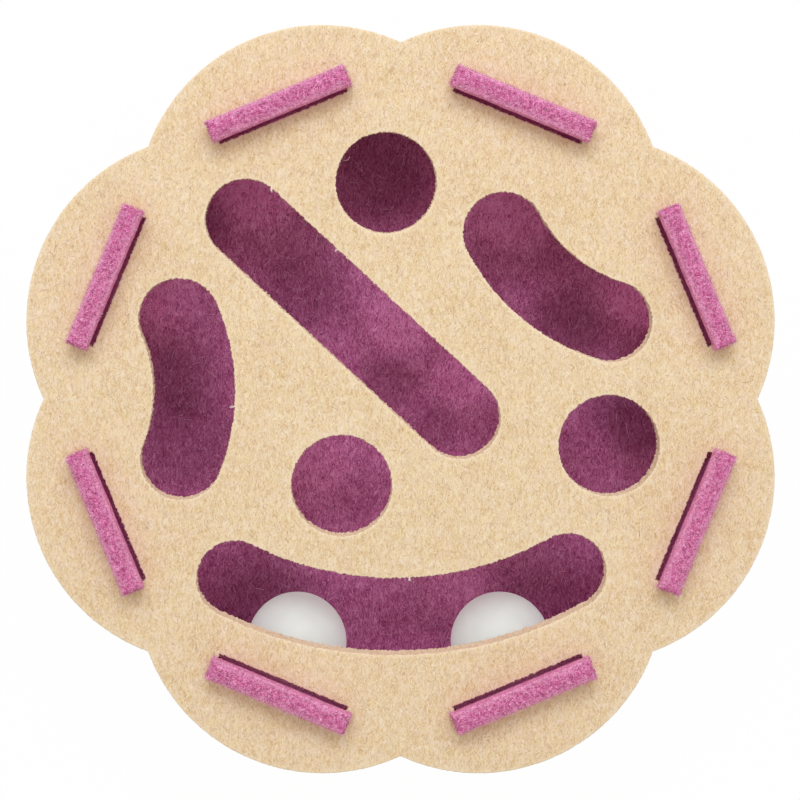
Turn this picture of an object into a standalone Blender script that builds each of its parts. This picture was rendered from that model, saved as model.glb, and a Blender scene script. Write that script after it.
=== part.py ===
"""Felt activity box for cats, lying flat on its feet.

A scalloped lid of thick felt, with round, straight and bent paw openings, is held above a scalloped
base by a ring of eight upright felt panels. Each panel has a neck and a wide head at both ends: the
necks pass through slots in the lid and the base, the upper heads lock the lid on, and the lower heads
are the feet. Two light balls lie inside, each in the round porthole of a side panel, and roll across
the base when a paw pushes them.

Run it with blender --background --python part.py, or from Blender's text editor. Units are metres and
+Z is up. The origin is under the middle of the mat, level with the bottom of the feet, and +Y points to
the edge that has the upper round opening.
"""

import math

import bmesh
import bpy
from mathutils import Matrix, Vector

MM = 0.001

# The scalloped lid and base share one outline of equal round lobes
LOBE_COUNT = 8
MAT_RADIUS = 150.0 * MM  # from the middle to the tip of a lobe
LOBE_RADIUS = 71.6 * MM
LID_THICKNESS = 6.0 * MM
BASE_THICKNESS = 6.0 * MM

# The side panels stand in a ring, one behind the tip of each lobe
PANEL_THICKNESS = 6.0 * MM
LOBE_OVERHANG = 24.8 * MM  # from a panel's outer face to the tip of its lobe
PANEL_END_GAP = 0.4 * MM  # at each end of a panel, before its neighbour's

# The tabs: a neck in the slot and a wider head beyond it
SLOT_LENGTH = 53.0 * MM
SLOT_INNER_CLEARANCE = 1.9 * MM  # the dark gap that shows beside every head
HEAD_SHOULDER = 2.0 * MM  # how far a head reaches past each end of its slot
HEAD_HEIGHT = 9.0 * MM
HEAD_CORNER_RADIUS = 2.0 * MM

# Felt that touches felt, or carries a ball, keeps this gap
FIT_GAP = 0.3 * MM

# The balls, and how much narrower than a ball each round opening is, so that none gets out
BALL_RADIUS = 20.0 * MM
BALL_HEADROOM = 4.7 * MM  # from the top of a ball up to the lid
PORTHOLE_LIP = 3.5 * MM
ROUND_OPENING_LIP = 0.75 * MM
BALL_SEGMENTS = 32
BALL_RINGS = 18

# The long paw openings in the lid, all with round ends
LONG_OPENING_HALF_WIDTH = 15.5 * MM
KIDNEY_BEND_RADIUS = 69.5 * MM
SMILE_BEND_RADIUS = 138.4 * MM
SMILE_HALF_WIDTH = 14.6 * MM

# Places as a share of the ring's inner radius and a direction in degrees from +X. A long opening has
# the middles of its round ends. A bent one runs from its first end anticlockwise about its bend.
ROUND_OPENING_PLACE_SHARES = ((0.700, 93.8), (0.690, 347.4), (0.338, 235.8))
STRAIGHT_OPENING_END_SHARES = ((0.764, 130.8), (0.201, 342.2))
LEFT_KIDNEY_END_SHARES = ((0.734, 195.3), (0.760, 160.2))
RIGHT_KIDNEY_END_SHARES = ((0.632, 58.1), (0.726, 20.2))
SMILE_END_SHARES = ((0.790, 227.4), (0.777, 314.1))

# Round edges are drawn in steps no coarser than this
ARC_STEP = math.radians(5.0)
# Points closer than this become one when a filled outline is welded
WELD_DISTANCE = 0.01 * MM

BEIGE = (0.80, 0.58, 0.39)
PINK = (0.58, 0.17, 0.34)
WHITE = (0.86, 0.86, 0.84)
FELT_ROUGHNESS = 0.95
BALL_ROUGHNESS = 0.45

# Worked out from the values above
LOBE_STEP = 2 * math.pi / LOBE_COUNT
LOBE_CENTRE_DISTANCE = MAT_RADIUS - LOBE_RADIUS
RING_OUTER_RADIUS = MAT_RADIUS - LOBE_OVERHANG
RING_INNER_RADIUS = RING_OUTER_RADIUS - PANEL_THICKNESS
RING_MIDDLE_RADIUS = RING_OUTER_RADIUS - PANEL_THICKNESS / 2
PORTHOLE_RADIUS = BALL_RADIUS - PORTHOLE_LIP
ROUND_OPENING_RADIUS = BALL_RADIUS - ROUND_OPENING_LIP

BASE_UNDERSIDE_Z = HEAD_HEIGHT + FIT_GAP
FLOOR_Z = BASE_UNDERSIDE_Z + BASE_THICKNESS
BALL_CENTRE_Z = FLOOR_Z + FIT_GAP + BALL_RADIUS
LID_UNDERSIDE_Z = BALL_CENTRE_Z + BALL_RADIUS + BALL_HEADROOM
LID_TOP_Z = LID_UNDERSIDE_Z + LID_THICKNESS

# How far the middle of a seated ball stays inside the ring's inner face
BALL_SETBACK = math.sqrt((BALL_RADIUS + FIT_GAP) ** 2 - PORTHOLE_RADIUS**2)
BALL_CENTRE_DISTANCE = RING_INNER_RADIUS - BALL_SETBACK


def polar(distance, direction):
    """The point at that distance from the middle, in that direction in radians."""
    return Vector((distance * math.cos(direction), distance * math.sin(direction)))


def shared_place(place):
    """The point that a (share of the ring's inner radius, degrees) pair stands for."""
    share, degrees = place
    return polar(share * RING_INNER_RADIUS, math.radians(degrees))


def lobe_direction(index):
    """The direction of the tip of a lobe, counted from 0 and anticlockwise from +X."""
    return (index + 0.5) * LOBE_STEP


def arc(centre, radius, start, sweep):
    """Points along an arc from start through sweep, both ends included."""
    steps = max(2, math.ceil(abs(sweep) / ARC_STEP))
    return [centre + polar(radius, start + sweep * i / steps) for i in range(steps + 1)]


def circle_outline(centre, radius):
    """A full circle, without its closing point."""
    return arc(centre, radius, 0.0, 2 * math.pi)[:-1]


def scalloped_outline():
    """The lobed edge of the lid and the base: one arc for each lobe, meeting in sharp notches."""
    half_step = LOBE_STEP / 2
    off_axis = LOBE_CENTRE_DISTANCE * math.sin(half_step)
    past_centre = math.sqrt(LOBE_RADIUS**2 - off_axis**2)
    notch_distance = LOBE_CENTRE_DISTANCE * math.cos(half_step) + past_centre
    across = notch_distance * math.sin(half_step)
    along = notch_distance * math.cos(half_step) - LOBE_CENTRE_DISTANCE
    half_sweep = math.atan2(across, along)
    outline = []
    for index in range(LOBE_COUNT):
        direction = lobe_direction(index)
        centre = polar(LOBE_CENTRE_DISTANCE, direction)
        outline += arc(centre, LOBE_RADIUS, direction - half_sweep, 2 * half_sweep)[:-1]
    return outline


def straight_opening_outline(end_shares):
    """A long opening in a straight line between the middles of its round ends."""
    first_end, last_end = (shared_place(place) for place in end_shares)
    run = last_end - first_end
    heading = math.atan2(run.y, run.x)
    quarter = math.pi / 2
    first_arc = arc(first_end, LONG_OPENING_HALF_WIDTH, heading + quarter, math.pi)
    last_arc = arc(last_end, LONG_OPENING_HALF_WIDTH, heading - quarter, math.pi)
    return first_arc + last_arc


def bent_opening_outline(end_shares, bend_radius, half_width):
    """A long opening along an arc, whose centre lies to the left of the run between its ends."""
    first_end, last_end = (shared_place(place) for place in end_shares)
    run = last_end - first_end
    to_centre = math.sqrt(bend_radius**2 - (run.length / 2) ** 2)
    centre = (first_end + last_end) / 2 + to_centre * run.orthogonal().normalized()
    half_sweep = math.asin(run.length / 2 / bend_radius)
    first = math.atan2(first_end.y - centre.y, first_end.x - centre.x)
    last = first + 2 * half_sweep
    outer = arc(centre, bend_radius + half_width, first, 2 * half_sweep)
    far_end = arc(last_end, half_width, last, math.pi)
    inner = arc(centre, bend_radius - half_width, last, -2 * half_sweep)
    near_end = arc(first_end, half_width, first + math.pi, math.pi)
    return outer + far_end[1:-1] + inner + near_end[1:-1]


def tab_slot_outline(index):
    """The slot that a panel's neck passes through, wider on its inner side."""
    near = RING_INNER_RADIUS - SLOT_INNER_CLEARANCE
    far = RING_OUTER_RADIUS + FIT_GAP
    half_length = SLOT_LENGTH / 2
    turn = Matrix.Rotation(lobe_direction(index), 2)
    corners = ((near, -half_length), (far, -half_length), (far, half_length), (near, half_length))
    return [turn @ Vector(corner) for corner in corners]


def tab_slots():
    return [tab_slot_outline(index) for index in range(LOBE_COUNT)]


def paw_openings():
    """The three round, one straight and three bent openings in the lid."""
    round_openings = [
        circle_outline(shared_place(place), ROUND_OPENING_RADIUS)
        for place in ROUND_OPENING_PLACE_SHARES
    ]
    return [
        *round_openings,
        straight_opening_outline(STRAIGHT_OPENING_END_SHARES),
        bent_opening_outline(LEFT_KIDNEY_END_SHARES, KIDNEY_BEND_RADIUS, LONG_OPENING_HALF_WIDTH),
        bent_opening_outline(RIGHT_KIDNEY_END_SHARES, KIDNEY_BEND_RADIUS, LONG_OPENING_HALF_WIDTH),
        bent_opening_outline(SMILE_END_SHARES, SMILE_BEND_RADIUS, SMILE_HALF_WIDTH),
    ]


def panel_outline():
    """A side panel seen from outside: a wide body, with a neck and a wider head above and below it."""
    body_half_width = RING_INNER_RADIUS * math.tan(LOBE_STEP / 2) - PANEL_END_GAP
    neck_half_width = SLOT_LENGTH / 2 - FIT_GAP
    head_half_width = SLOT_LENGTH / 2 + HEAD_SHOULDER
    top_shoulder = LID_UNDERSIDE_Z - FIT_GAP
    bottom_shoulder = FLOOR_Z + FIT_GAP
    top_head = LID_TOP_Z + FIT_GAP
    bottom_head = BASE_UNDERSIDE_Z - FIT_GAP
    quarter = math.pi / 2
    corner = HEAD_CORNER_RADIUS

    def head_end(side, flat_z, upward):
        """The outer half of a head on one side, from the neck to the rounded corner."""
        end_z = flat_z + upward * HEAD_HEIGHT
        centre = Vector((side * (head_half_width - corner), end_z - upward * corner))
        start = 0.0 if side > 0 else math.pi
        return [
            Vector((side * neck_half_width, flat_z)),
            Vector((side * head_half_width, flat_z)),
            *arc(centre, corner, start, side * upward * quarter),
        ]

    def shoulder(side, z):
        """From the body's corner in to the neck."""
        return [Vector((side * body_half_width, z)), Vector((side * neck_half_width, z))]

    return (
        shoulder(1, top_shoulder)
        + head_end(1, top_head, 1)
        + head_end(-1, top_head, 1)[::-1]
        + shoulder(-1, top_shoulder)[::-1]
        + shoulder(-1, bottom_shoulder)
        + head_end(-1, bottom_head, -1)
        + head_end(1, bottom_head, -1)[::-1]
        + shoulder(1, bottom_shoulder)[::-1]
    )


def felt_sheet_mesh(name, outlines, thickness):
    """A flat sheet cut to the first outline, with the others as holes, half of it on each side of zero."""
    curve = bpy.data.curves.new(name, "CURVE")
    curve.dimensions = "2D"
    curve.fill_mode = "BOTH"
    curve.extrude = thickness / 2
    for outline in outlines:
        spline = curve.splines.new("POLY")
        spline.points.add(len(outline) - 1)
        for point, place in zip(spline.points, outline):
            point.co = (place.x, place.y, 0.0, 1.0)
        spline.use_cyclic_u = True
    cutting = bpy.data.objects.new(name, curve)
    bpy.context.scene.collection.objects.link(cutting)
    graph = bpy.context.evaluated_depsgraph_get()
    mesh = bpy.data.meshes.new_from_object(cutting.evaluated_get(graph))
    bpy.data.objects.remove(cutting)
    bpy.data.curves.remove(curve)

    work = bmesh.new()
    work.from_mesh(mesh)
    bmesh.ops.remove_doubles(work, verts=work.verts, dist=WELD_DISTANCE)
    bmesh.ops.recalc_face_normals(work, faces=work.faces)
    work.to_mesh(mesh)
    work.free()
    mesh.name = name
    return mesh


def ball_mesh():
    """A ball about its own middle, with smooth shading."""
    mesh = bpy.data.meshes.new("ball")
    work = bmesh.new()
    bmesh.ops.create_uvsphere(work, u_segments=BALL_SEGMENTS, v_segments=BALL_RINGS, radius=BALL_RADIUS)
    work.to_mesh(mesh)
    work.free()
    mesh.shade_smooth()
    return mesh


def make_material(name, colour, roughness):
    material = bpy.data.materials.new(name)
    material.use_nodes = True
    shader = material.node_tree.nodes["Principled BSDF"]
    shader.inputs["Base Color"].default_value = (*colour, 1.0)
    shader.inputs["Roughness"].default_value = roughness
    shader.inputs["Metallic"].default_value = 0.0
    material.diffuse_color = (*colour, 1.0)
    return material


def add_piece(collection, name, mesh, material, location, rotation=(0.0, 0.0, 0.0)):
    """A named object that shows the mesh at a place. Copies of a piece share one mesh."""
    piece = bpy.data.objects.new(name, mesh)
    if not mesh.materials:
        mesh.materials.append(material)
    piece.location = location
    piece.rotation_euler = rotation
    collection.objects.link(piece)
    return piece


def add_lid(collection, felt):
    mesh = felt_sheet_mesh("lid", [scalloped_outline(), *paw_openings(), *tab_slots()], LID_THICKNESS)
    add_piece(collection, "lid", mesh, felt, (0.0, 0.0, LID_TOP_Z - LID_THICKNESS / 2))


def add_base(collection, felt):
    mesh = felt_sheet_mesh("base", [scalloped_outline(), *tab_slots()], BASE_THICKNESS)
    add_piece(collection, "base", mesh, felt, (0.0, 0.0, FLOOR_Z - BASE_THICKNESS / 2))


def add_side_panels(collection, felt):
    """One panel behind each lobe, numbered from 1, anticlockwise from +X seen from above."""
    porthole = circle_outline(Vector((0.0, BALL_CENTRE_Z)), PORTHOLE_RADIUS)
    mesh = felt_sheet_mesh("side_panel", [panel_outline(), porthole], PANEL_THICKNESS)
    upright = math.pi / 2
    for index in range(LOBE_COUNT):
        direction = lobe_direction(index)
        place = polar(RING_MIDDLE_RADIUS, direction)
        rotation = (upright, 0.0, direction + upright)
        add_piece(collection, f"side_panel_{index + 1}", mesh, felt, (*place, 0.0), rotation)


def add_balls(collection, plastic):
    """Each ball rests in the porthole of one of the two panels on either side of -Y."""
    mesh = ball_mesh()
    behind_left = 3 * LOBE_COUNT // 4 - 1
    for name, index in (("ball_left", behind_left), ("ball_right", behind_left + 1)):
        place = polar(BALL_CENTRE_DISTANCE, lobe_direction(index))
        add_piece(collection, name, mesh, plastic, (*place, BALL_CENTRE_Z))


def build():
    for leftover in list(bpy.data.objects):
        bpy.data.objects.remove(leftover)
    collection = bpy.data.collections.new("cat_activity_box")
    bpy.context.scene.collection.children.link(collection)
    beige_felt = make_material("beige_felt", BEIGE, FELT_ROUGHNESS)
    pink_felt = make_material("pink_felt", PINK, FELT_ROUGHNESS)
    white_plastic = make_material("white_plastic", WHITE, BALL_ROUGHNESS)
    add_lid(collection, beige_felt)
    add_base(collection, pink_felt)
    add_side_panels(collection, pink_felt)
    add_balls(collection, white_plastic)


build()
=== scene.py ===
# %% [markdown]
# # A felt activity box for cats
#
# The real object is a low box of thick needled felt: a scalloped beige lid, a pink base, and a ring of
# eight upright pink panels whose heads stand through the lid. Two light balls lie inside. The shapes could
# be drawn again here by hand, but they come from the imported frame, so that the picture stays true to the
# solids. This script only adds what a frame can't hold: soft cut edges, fibres, colour and light.

# %% Load the frame
import math
import random
from functools import partial

import bmesh
import bpy
from mathutils import Matrix, Vector, geometry, noise
from mathutils.kdtree import KDTree


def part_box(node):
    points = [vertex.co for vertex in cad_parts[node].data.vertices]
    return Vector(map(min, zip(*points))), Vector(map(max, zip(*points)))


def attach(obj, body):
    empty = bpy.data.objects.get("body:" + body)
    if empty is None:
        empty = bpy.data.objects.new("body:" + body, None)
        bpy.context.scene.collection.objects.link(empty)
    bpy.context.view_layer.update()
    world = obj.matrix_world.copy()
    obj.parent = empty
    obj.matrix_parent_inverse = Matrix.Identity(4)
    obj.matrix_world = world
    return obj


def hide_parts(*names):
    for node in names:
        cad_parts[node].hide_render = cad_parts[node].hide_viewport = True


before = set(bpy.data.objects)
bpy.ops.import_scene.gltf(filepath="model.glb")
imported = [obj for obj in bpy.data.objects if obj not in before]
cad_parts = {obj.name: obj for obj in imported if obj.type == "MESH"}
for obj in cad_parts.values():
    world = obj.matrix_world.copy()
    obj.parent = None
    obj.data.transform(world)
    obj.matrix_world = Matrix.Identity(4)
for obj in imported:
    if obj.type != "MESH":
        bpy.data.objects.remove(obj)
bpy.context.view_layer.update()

MM = 0.001
lid_low, lid_high = (Vector(corner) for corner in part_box("lid"))
panel_names = sorted(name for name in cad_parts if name.startswith("side_panel"))
ball_names = sorted(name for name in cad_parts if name.startswith("ball"))
print(f"lid {(lid_high - lid_low) / MM} mm, {len(panel_names)} side panels, {len(ball_names)} balls")

# %% [markdown]
# ## Reading the outlines
#
# Each felt piece is one sheet, cut through at right angles. Its outline could be typed in again here, but
# then two files would have to agree. The frame already holds it: the edges that only one face of the
# sheet's upper side uses are the cut lines. A sheet is read in axes of its own, with the last one along its
# thickness.

# %% Find the cut lines of a sheet
PANEL_ANGLE_STEP = math.pi / 8  # each panel faces a whole number of these
SIDE_TOLERANCE = 0.02 * MM
KEY_STEP = 0.002 * MM  # corners that lie closer than this are one corner


def panel_axes(node):
    """A panel's own axes: along the wall, up and outwards. Their origin is the middle of the mat."""
    low, high = (Vector(corner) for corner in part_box(node))
    middle = (low + high) / 2
    outwards = math.atan2(middle.y, middle.x)
    nearest = round(outwards / PANEL_ANGLE_STEP) * PANEL_ANGLE_STEP
    return Matrix.Rotation(nearest + math.pi / 2, 4, "Z") @ Matrix.Rotation(math.pi / 2, 4, "X")


def cut_lines(node, own_axes):
    """The loops of the sheet's cut lines in its own axes, and its lowest and highest level."""
    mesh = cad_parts[node].data
    to_own = own_axes.inverted()
    places = [to_own @ vertex.co for vertex in mesh.vertices]
    top = max(place.z for place in places)
    bottom = min(place.z for place in places)

    def key(index):
        return round(places[index].x / KEY_STEP), round(places[index].y / KEY_STEP)

    follows = {}  # a dict and not a set, so that its order is the same in every run
    for polygon in mesh.polygons:
        if all(abs(places[i].z - top) < SIDE_TOLERANCE for i in polygon.vertices):
            corners = [key(i) for i in polygon.vertices]
            for start, end in zip(corners, corners[1:] + corners[:1]):
                if (end, start) in follows:
                    del follows[end, start]
                else:
                    follows[start, end] = True
    next_of = {start: end for start, end in follows}
    loops = []
    while next_of:
        start, here = next_of.popitem()
        loop = [start]
        while here != start:
            loop.append(here)
            here = next_of.pop(here)
        loops.append([Vector((x * KEY_STEP, y * KEY_STEP)) for x, y in loop])
    return loops, bottom, top


for node in ("lid", "base"):
    loops, bottom, top = cut_lines(node, Matrix())
    print(node, "has", len(loops), "cut lines,", round((top - bottom) / MM, 2), "mm thick")

# %% [markdown]
# ## Rounding the lines
#
# The frame draws an arc with a short straight edge every five degrees. Seen close, such facets show.
# Smoothing the whole line would blunt its corners too, so each edge becomes a small Hermite curve instead,
# whose ends lean by half of the turn that the line makes there. A sharp turn stays a corner, and an edge
# that is much longer than its neighbour stays straight.

# %% Resample a cut line in short, even steps
CORNER_TURN = math.radians(12)
LONG_EDGE_SHARE = 3.0
LEAST_COSINE = 0.5  # limits the way's length at a sharp corner
LID_STEP = 0.45 * MM  # the shortest, because the picture is taken straight down on the lid


def turn_between(incoming, outgoing):
    cross = incoming.x * outgoing.y - incoming.y * outgoing.x
    return math.atan2(cross, incoming.dot(outgoing))


def lean(turn, own_length, other_length):
    """How far an edge's end leans from its chord, or None at a corner."""
    if abs(turn) > CORNER_TURN:
        return None
    if own_length > LONG_EDGE_SHARE * other_length:
        return 0.0
    if other_length > LONG_EDGE_SHARE * own_length:
        return turn
    return turn / 2


def hermite(start, end, start_slope, end_slope, share):
    square, cube = share**2, share**3
    return (
        (2 * cube - 3 * square + 1) * start
        + (cube - 2 * square + share) * start_slope
        + (3 * square - 2 * cube) * end
        + (cube - square) * end_slope
    )


def smooth_line(loop, step):
    """The closed line through the loop's points in steps of about that length, as (point, way) pairs.

    The way moves the point 1 into the felt, which lies to the left. It is longer at a corner, and between
    corners it turns evenly, so that a line moved inwards doesn't fold over itself at an outer corner.
    """
    count = len(loop)
    edges = [loop[(i + 1) % count] - loop[i] for i in range(count)]
    turns = [turn_between(edges[i - 1], edges[i]) for i in range(count)]
    starts, ends = [], []
    for i, edge in enumerate(edges):
        after = (i + 1) % count
        at_start = lean(turns[i], edge.length, edges[i - 1].length)
        at_end = lean(turns[after], edge.length, edges[after].length)
        heading = math.atan2(edge.y, edge.x)
        starts.append(heading - (at_start if at_start is not None else at_end or 0.0))
        ends.append(heading + (at_end if at_end is not None else at_start or 0.0))
    ways = []
    for i in range(count):
        half_turn = math.remainder(starts[i] - ends[i - 1], 2 * math.pi) / 2
        inwards = ends[i - 1] + half_turn + math.pi / 2
        way = Vector((math.cos(inwards), math.sin(inwards)))
        ways.append(way / max(math.cos(half_turn), LEAST_COSINE))
    line = []
    for i, edge in enumerate(edges):
        after = (i + 1) % count
        slopes = [edge.length * Vector((math.cos(a), math.sin(a))) for a in (starts[i], ends[i])]
        parts = max(1, round(edge.length / step))
        for part in range(parts):
            share = part / parts
            point = hermite(loop[i], loop[after], *slopes, share)
            line.append((point, ways[i].lerp(ways[after], share)))
    return line


longest = max(cut_lines("lid", Matrix())[0], key=len)
print("the lid's outline:", len(longest), "points, smoothed", len(smooth_line(longest, LID_STEP)))

# %% [markdown]
# ## Filling a sheet
#
# The skin of needled felt rises and sinks a little, so it needs points all over. One large face would stay
# flat, and a square grid would leave steps at the cuts. A Delaunay triangulation joins the cut lines to
# loose rows of points between them. It fills the openings as well, so only the triangles on the felt are
# kept.

# %% Fill between the cut lines with small, even triangles
ROW_JITTER = 0.2  # of the distance between the points
CLEAR_OF_LINE = 0.55  # of the same distance


def rows_of_points(outline, pitch, draw):
    """Points in loose rows over the outline's box, none of them close to the outline."""
    near = KDTree(len(outline))
    for index, point in enumerate(outline):
        near.insert((point.x, point.y, 0.0), index)
    near.balance()
    xs = [point.x for point in outline]
    ys = [point.y for point in outline]
    points = []
    row, y = 0, min(ys)
    while y < max(ys):
        x = min(xs) + (row % 2) * pitch / 2
        while x < max(xs):
            across, along = (draw.uniform(-ROW_JITTER, ROW_JITTER) * pitch for _ in range(2))
            spot = (x + across, y + along)
            if near.find((*spot, 0.0))[2] > CLEAR_OF_LINE * pitch:
                points.append(Vector(spot))
            x += pitch
        y += pitch * math.sqrt(3) / 2
        row += 1
    return points


def filled_between(rings, pitch, draw):
    """Triangles over the felt, which lies to the left of each ring, as (points, corner indices)."""
    outline = [point for ring in rings for point in ring]
    ring_edges, first = [], 0
    for ring in rings:
        ring_edges += [(first + i, first + (i + 1) % len(ring)) for i in range(len(ring))]
        first += len(ring)
    scaled = [point / MM for point in outline + rows_of_points(outline, pitch, draw)]
    points, _, triangles, *_ = geometry.delaunay_2d_cdt(scaled, ring_edges, [], 0, 1e-6)
    edges_of = [list(zip(corners, corners[1:] + corners[:1])) for corners in triangles]
    left_of = {edge: index for index, edges in enumerate(edges_of) for edge in edges}
    walls = set(ring_edges) | {(end, start) for start, end in ring_edges}
    kept = {left_of[edge] for edge in ring_edges}
    spreading = list(kept)
    while spreading:
        for start, end in edges_of[spreading.pop()]:
            beyond = left_of.get((end, start))
            if (start, end) not in walls and beyond not in kept and beyond is not None:
                kept.add(beyond)
                spreading.append(beyond)
    return [point * MM for point in points], [triangles[index] for index in sorted(kept)]


square = [Vector((x, y)) * MM for x, y in ((0, 0), (20, 0), (20, 20), (0, 20))]
print("a square of 20 mm takes", len(filled_between([square], 2 * MM, random.Random(1))[1]), "triangles")

# %% [markdown]
# ## The edge of a sheet
#
# A knife leaves felt ragged, because fibres give way before they are cut, and the skin bends down softly
# beside the cut. A bevel modifier on thousands of edge points would break at the notches. The edge is
# lofted instead: each cut line is repeated in rings that follow a profile from the upper side, over a soft
# shoulder, down the cut face and round to the lower side, and noise moves each ring in and out.

# %% Loft the rings of an edge
# The edge profile from the upper side to the middle: how far into the felt, and how deep below the side
EDGE_PROFILE = (
    (1.70 * MM, 0.00 * MM),
    (0.50 * MM, 0.02 * MM),
    (0.06 * MM, 0.10 * MM),
    (0.02 * MM, 0.34 * MM),
    (0.14 * MM, 1.30 * MM),
)
RIM_OF_LEVEL = (0.0, 0.6, 1.0, 0.6, 0.0)  # paleness of the rim on each level: fraying and painted highlight
# The same for an edge that stands free and has frayed round
DOMED_PROFILE = (
    (1.70 * MM, 0.00 * MM),
    (1.25 * MM, 0.30 * MM),
    (0.75 * MM, 0.85 * MM),
    (0.30 * MM, 1.55 * MM),
    (0.04 * MM, 2.30 * MM),
)
DOMED_RIM_OF_LEVEL = (0.9, 1.0, 0.7, 0.25, 0.0)
MIDDLE_INSET = 0.20 * MM
CUT_ROUGHNESS = 0.55 * MM
CUT_GRAIN = 0.65 * MM
CUT_GRAIN_UPRIGHT = 0.35  # the grain is drawn out through the felt
FINE_GRAIN_SHARE = 0.6
ROUGH_INSET = 0.4  # of the roughness, so that more of it goes into the felt than out of it
ROUGH_WIDTH = 1.2 * MM  # from the cut into the skin


def edge_rings(line, bottom, top, dome, raggedness, slant, drift):
    """The rings along a line, from the upper side to the lower, each of (place in the plane, level, rim)."""
    middle, half = (top + bottom) / 2, (top - bottom) / 2
    edge_levels = zip(EDGE_PROFILE, RIM_OF_LEVEL)
    domed_levels = zip(DOMED_PROFILE, DOMED_RIM_OF_LEVEL)
    profile = [(1, *plain, *domed) for plain, domed in zip(edge_levels, domed_levels)]
    profile += [(1, (MIDDLE_INSET, half), 0.0, (MIDDLE_INSET, half), 0.0)]
    profile += [(-1, *rest) for _, *rest in reversed(profile[:-1])]
    rings = []
    for sign, plain, plain_rim, domed, domed_rim in profile:
        roughness = CUT_ROUGHNESS * raggedness * max(0.0, 1.0 - plain[0] / ROUGH_WIDTH)
        ring = []
        for point, way in line:
            share = dome(point)
            inset = plain[0] + share * (domed[0] - plain[0])
            level = middle + sign * (half - plain[1] - share * (domed[1] - plain[1]))
            place = Vector((point.x, point.y, CUT_GRAIN_UPRIGHT * level))
            rough = noise.noise(place / CUT_GRAIN + drift)
            rough += FINE_GRAIN_SHARE * noise.noise(place / (CUT_GRAIN / 2) - drift)
            flat = point + way * (inset + roughness * (ROUGH_INSET + rough))
            flat += slant * ((top - level) / (top - bottom))
            ring.append((flat, level, plain_rim + share * (domed_rim - plain_rim)))
        rings.append(ring)
    return rings


print("an edge has", 2 * len(EDGE_PROFILE) + 1, "rings and is", EDGE_PROFILE[0][0] / MM, "mm wide")

# %% [markdown]
# ## The whole sheet
#
# A sheet is two filled skins, joined by the rings of each edge. A displace modifier could swell the skins,
# but it would also move the cut faces, so each point is lifted as it is made, by a coarse and a fine noise.
# Two painted values go along for the material: how pale the rim is, from fraying and painted highlight,
# and how free the felt stands.

# %% Build a felt sheet
NOISE_REACH = 9  # each sheet starts somewhere else in the noise
PLAIN_RAGGEDNESS = 0.7
SKIN_SWELL = 0.10 * MM
SKIN_SWELL_GRAIN = 11.0 * MM
SKIN_PILE = 0.05 * MM
SKIN_PILE_GRAIN = 3.0 * MM


def finished(work, name):
    """The worked mesh, shaded smooth."""
    mesh = bpy.data.meshes.new(name)
    work.to_mesh(mesh)
    work.free()
    mesh.shade_smooth()
    return mesh


def none_at(point):
    return 0.0


def felt_sheet(name, lines, bottom, top, pitch, seed, free=none_at, dome=none_at, spread=(0, 0), cuts=None):
    """A sheet of felt with soft cut edges, in the sheet's own axes.

    free tells how far the felt stands free at a point, from 0 to 1. There it is thicker by the two amounts in
    spread, on its lower and on its upper side. dome tells in the same way where its edges have frayed round.
    cuts holds for each line how ragged it is, and how far the knife had drifted at the lower side.
    """
    draw = random.Random(seed)
    drift = Vector([draw.uniform(-NOISE_REACH, NOISE_REACH) for _ in range(3)])
    middle, half = (top + bottom) / 2, (top - bottom) / 2

    def lifted(point, level):
        """The point at that level, raised as the nearer side swells."""
        sign = 1 if level > middle else -1
        coarse = noise.noise(Vector((point.x, point.y, sign)) / SKIN_SWELL_GRAIN + drift)
        fine = noise.noise(Vector((point.x, point.y, sign)) / SKIN_PILE_GRAIN - drift)
        rise = SKIN_SWELL * coarse + SKIN_PILE * fine + free(point) * spread[(sign + 1) // 2]
        return Vector((point.x, point.y, level + sign * abs(level - middle) / half * rise))

    work = bmesh.new()
    # how pale the rim is painted: partly fraying, partly painted highlight
    rim_layer = work.verts.layers.float.new("rim")
    free_layer = work.verts.layers.float.new("free")
    cuts = cuts or [(PLAIN_RAGGEDNESS, Vector((0.0, 0.0)))] * len(lines)
    rings_of = [edge_rings(line, bottom, top, dome, *cut, drift) for line, cut in zip(lines, cuts)]
    points, triangles = filled_between([[point for point, *_ in rings[0]] for rings in rings_of], pitch, draw)
    upper = [work.verts.new(lifted(point, top)) for point in points]
    lower = [work.verts.new(lifted(point, bottom)) for point in points]
    for a, b, c in triangles:
        work.faces.new((upper[a], upper[b], upper[c]))
        work.faces.new((lower[a], lower[c], lower[b]))
    first = 0
    for rings in rings_of:
        size = len(rings[0])
        bands = [upper[first : first + size]]
        for ring in rings[1:-1]:
            band = []
            for point, level, rim in ring:
                band.append(work.verts.new(lifted(point, level)))
                band[-1][rim_layer] = rim
            bands.append(band)
        bands.append(lower[first : first + size])
        for above, below in zip(bands, bands[1:]):
            for i in range(size):
                j = (i + 1) % size
                work.faces.new((above[i], below[i], below[j], above[j]))
        first += size
    for vert in work.verts:
        vert[free_layer] = free(vert.co)
    bmesh.ops.recalc_face_normals(work, faces=work.faces)
    return finished(work, name)


def show(name, mesh, material, axes=Matrix()):
    piece = bpy.data.objects.new(name, mesh)
    mesh.materials.append(material)
    piece.matrix_world = axes
    bpy.context.scene.collection.objects.link(piece)
    return piece


print("a skin swells by up to", round((SKIN_SWELL + SKIN_PILE) / MM, 2), "mm")

# %% [markdown]
# ## Loose fibres
#
# Needled felt is never quite clean: single fibres lie on its skin, poke over its edges and stand on a cut.
# A particle system could grow them, but the model is also exported, so each fibre here is a thin closed
# tube with three sides. Its path is a short walk that keeps turning a little, and each fibre carries its
# own tint.

# %% Make a mesh of loose fibres
FIBRE_SIDES = 3
FIBRE_TIP = 0.55  # of the full thickness


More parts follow.
